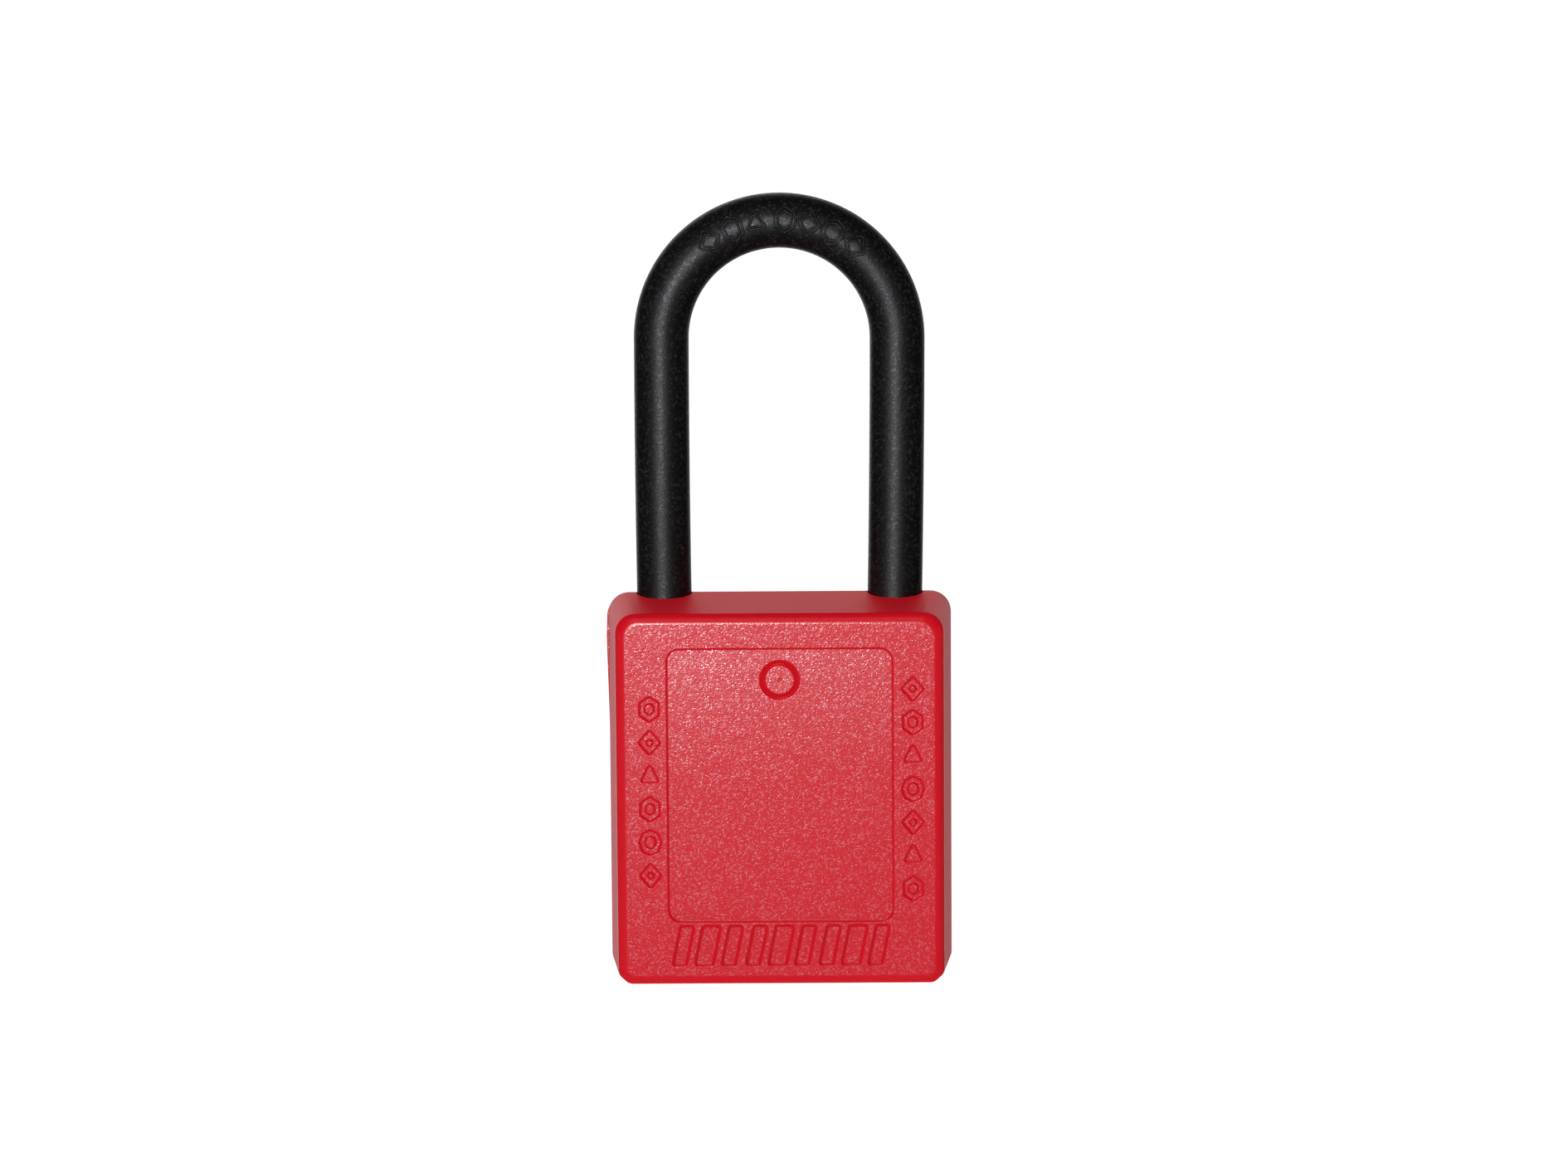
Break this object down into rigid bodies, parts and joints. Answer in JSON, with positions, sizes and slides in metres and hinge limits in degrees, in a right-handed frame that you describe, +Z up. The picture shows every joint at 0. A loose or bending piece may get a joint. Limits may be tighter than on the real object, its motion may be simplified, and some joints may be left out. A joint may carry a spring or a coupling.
{
  "type": "safety padlock",
  "caption": "Lockout safety padlock: drafted two-shell plastic case, tall round nylon shackle, bottom-keyed pin cylinder driving two locking dogs.",
  "frame": {"origin": "middle of the flat base", "axes": "+X across the case to the toe of the shackle, -Y out of the front label face, +Z up through the shackle"},
  "size_m": [0.0382, 0.0206, 0.0868],
  "materials": {
    "case_red": "fine-textured moulded thermoplastic with smooth edge bands",
    "black_nylon": "satin glass-filled nylon",
    "brass": "machined",
    "nickel_brass": "satin nickel over brass",
    "spring_steel": "drawn wire",
    "plated_steel": "zinc plated",
    "zinc": "die cast zinc"
  },
  "bodies": {
    "case": {"front_shell": "case_red", "rear_shell": "case_red", "heel_stop_pin": "plated_steel", "shackle_spring": "spring_steel", "cylinder_housing": "brass", "chamber_cover": "brass", "cylinder_screw": "plated_steel", "dog_springs_left": "spring_steel", "dog_springs_right": "spring_steel", "pin_spring_1": "spring_steel", "pin_spring_2": "spring_steel", "pin_spring_3": "spring_steel", "pin_spring_4": "spring_steel", "pin_spring_5": "spring_steel", "pin_spring_6": "spring_steel"},
    "shackle": {"shackle": "black_nylon"},
    "plug": {"plug": "nickel_brass", "plug_clip": "spring_steel", "drive_cam": "zinc", "cam_screw": "plated_steel"},
    "dog_left": {"dog_left": "zinc"},
    "dog_right": {"dog_right": "zinc"},
    "key_pin_1": {"key_pin_1": "brass"},
    "driver_pin_1": {"driver_pin_1": "plated_steel"},
    "key_pin_2": {"key_pin_2": "brass"},
    "driver_pin_2": {"driver_pin_2": "plated_steel"},
    "key_pin_3": {"key_pin_3": "brass"},
    "driver_pin_3": {"driver_pin_3": "plated_steel"},
    "key_pin_4": {"key_pin_4": "brass"},
    "driver_pin_4": {"driver_pin_4": "plated_steel"},
    "key_pin_5": {"key_pin_5": "brass"},
    "driver_pin_5": {"driver_pin_5": "plated_steel"},
    "key_pin_6": {"key_pin_6": "brass"},
    "driver_pin_6": {"driver_pin_6": "plated_steel"}
  },
  "joints": [
    {"name": "shackle_lift", "type": "slide", "parent": "case", "child": "shackle", "axis": [0, 0, 1], "range_m": [0, 0.0109], "deforming": ["shackle_spring"]},
    {"name": "plug_turn", "type": "hinge", "parent": "case", "child": "plug", "pos_m": [0, 0, 0.0156], "axis": [0, 0, 1], "range_deg": [0, 90]},
    {"name": "dog_left_slide", "type": "slide", "parent": "case", "child": "dog_left", "axis": [-1, 0, 0], "range_m": [0, 0.00141], "deforming": ["dog_springs_left"]},
    {"name": "dog_right_slide", "type": "slide", "parent": "case", "child": "dog_right", "axis": [1, 0, 0], "range_m": [0, 0.00141], "deforming": ["dog_springs_right"]},
    {"name": "key_pin_1_slide", "type": "slide", "parent": "plug", "child": "key_pin_1", "axis": [1, 0, 0], "range_m": [-0.00173, 0]},
    {"name": "driver_pin_1_slide", "type": "slide", "parent": "case", "child": "driver_pin_1", "axis": [1, 0, 0], "range_m": [-0.00173, 0], "deforming": ["pin_spring_1"]},
    {"name": "key_pin_2_slide", "type": "slide", "parent": "plug", "child": "key_pin_2", "axis": [1, 0, 0], "range_m": [-0.00093, 0]},
    {"name": "driver_pin_2_slide", "type": "slide", "parent": "case", "child": "driver_pin_2", "axis": [1, 0, 0], "range_m": [-0.00093, 0], "deforming": ["pin_spring_2"]},
    {"name": "key_pin_3_slide", "type": "slide", "parent": "plug", "child": "key_pin_3", "axis": [1, 0, 0], "range_m": [-0.00213, 0]},
    {"name": "driver_pin_3_slide", "type": "slide", "parent": "case", "child": "driver_pin_3", "axis": [1, 0, 0], "range_m": [-0.00213, 0], "deforming": ["pin_spring_3"]},
    {"name": "key_pin_4_slide", "type": "slide", "parent": "plug", "child": "key_pin_4", "axis": [1, 0, 0], "range_m": [-0.00133, 0]},
    {"name": "driver_pin_4_slide", "type": "slide", "parent": "case", "child": "driver_pin_4", "axis": [1, 0, 0], "range_m": [-0.00133, 0], "deforming": ["pin_spring_4"]},
    {"name": "key_pin_5_slide", "type": "slide", "parent": "plug", "child": "key_pin_5", "axis": [1, 0, 0], "range_m": [-0.00073, 0]},
    {"name": "driver_pin_5_slide", "type": "slide", "parent": "case", "child": "driver_pin_5", "axis": [1, 0, 0], "range_m": [-0.00073, 0], "deforming": ["pin_spring_5"]},
    {"name": "key_pin_6_slide", "type": "slide", "parent": "plug", "child": "key_pin_6", "axis": [1, 0, 0], "range_m": [-0.00193, 0]},
    {"name": "driver_pin_6_slide", "type": "slide", "parent": "case", "child": "driver_pin_6", "axis": [1, 0, 0], "range_m": [-0.00193, 0], "deforming": ["pin_spring_6"]}
  ],
  "couplings": [
    {"joint": "dog_left_slide", "follows": "plug_turn", "m_per_rad": 0.00089127},
    {"joint": "dog_right_slide", "follows": "plug_turn", "m_per_rad": 0.00089127},
    {"joint": "driver_pin_1_slide", "follows": "key_pin_1_slide", "ratio": 1},
    {"joint": "driver_pin_2_slide", "follows": "key_pin_2_slide", "ratio": 1},
    {"joint": "driver_pin_3_slide", "follows": "key_pin_3_slide", "ratio": 1},
    {"joint": "driver_pin_4_slide", "follows": "key_pin_4_slide", "ratio": 1},
    {"joint": "driver_pin_5_slide", "follows": "key_pin_5_slide", "ratio": 1},
    {"joint": "driver_pin_6_slide", "follows": "key_pin_6_slide", "ratio": 1}
  ]
}
